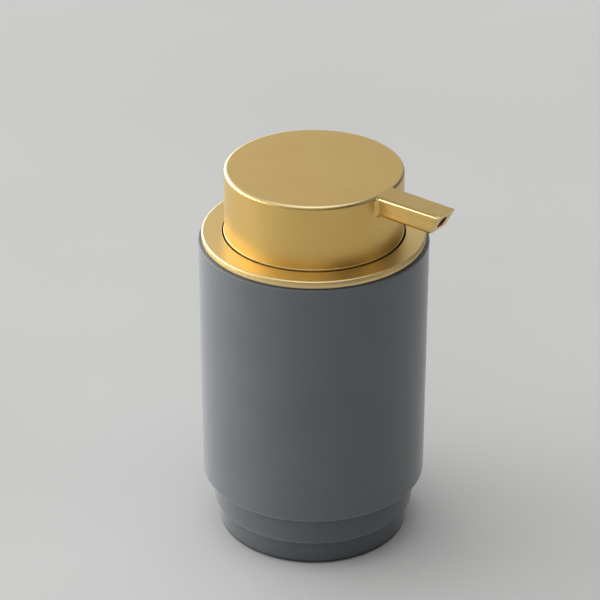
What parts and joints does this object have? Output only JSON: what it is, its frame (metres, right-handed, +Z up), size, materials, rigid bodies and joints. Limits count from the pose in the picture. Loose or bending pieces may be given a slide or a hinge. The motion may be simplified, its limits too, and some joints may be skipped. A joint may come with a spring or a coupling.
{
  "type": "soap pump dispenser",
  "caption": "Stepped cylindrical stoneware soap dispenser with a lift-off ring lid, a sprung push cap over a plunger pump, and a flat-topped spout.",
  "frame": {"origin": "centre of the base pad's underside, on the surface that the dispenser stands on, on the axis of the vessel and pump", "axes": "+Z up along the pump's axis; +X along the spout, from the pump's axis towards the outlet"},
  "size_m": [0.0959, 0.08, 0.1405],
  "materials": {
    "stoneware": "matte",
    "gold_metal": "brushed gold",
    "black_plastic": "matte",
    "white_plastic": "satin",
    "natural_plastic": "milky satin",
    "nozzle_plastic": "matte",
    "clear_silicone": "satin",
    "pad_silicone": "matte",
    "spring_steel": "drawn wire",
    "ball_steel": "polished"
  },
  "bodies": {
    "vessel": {"vessel_body": "stoneware", "base_pad": "pad_silicone"},
    "lid": {"collar_ring": "gold_metal", "lid_carrier": "black_plastic", "lid_gasket": "clear_silicone", "pump_housing": "natural_plastic", "housing_gasket": "pad_silicone", "pump_nut": "white_plastic", "guide_bush": "white_plastic", "ball_cage": "natural_plastic", "dip_tube": "natural_plastic", "return_spring": "spring_steel"},
    "plunger": {"stem": "white_plastic", "piston": "natural_plastic", "piston_core": "white_plastic"},
    "head": {"head_cap": "gold_metal", "spout": "gold_metal", "head_core": "white_plastic", "cap_liner": "black_plastic", "nozzle_tube": "nozzle_plastic"},
    "inlet_valve": {"inlet_ball": "ball_steel"},
    "outlet_valve": {"outlet_ball": "ball_steel"}
  },
  "joints": [
    {"name": "lid_lift", "type": "slide", "parent": "vessel", "child": "lid", "axis": [0, 0, 1], "range_m": [0, 0.11]},
    {"name": "pump_press", "type": "slide", "parent": "lid", "child": "plunger", "axis": [0, 0, -1], "range_m": [0, 0.012], "stiffness_N_per_m": 600, "springref_m": -0.01, "deforming": ["return_spring"]},
    {"name": "spout_swivel", "type": "hinge", "parent": "plunger", "child": "head", "pos_m": [0, 0, 0.13], "axis": [0, 0, 1], "continuous": true},
    {"name": "inlet_ball_lift", "type": "slide", "parent": "lid", "child": "inlet_valve", "axis": [0, 0, 1], "range_m": [0, 0.0015]},
    {"name": "outlet_ball_lift", "type": "slide", "parent": "plunger", "child": "outlet_valve", "axis": [0, 0, 1], "range_m": [0, 0.0015]}
  ]
}
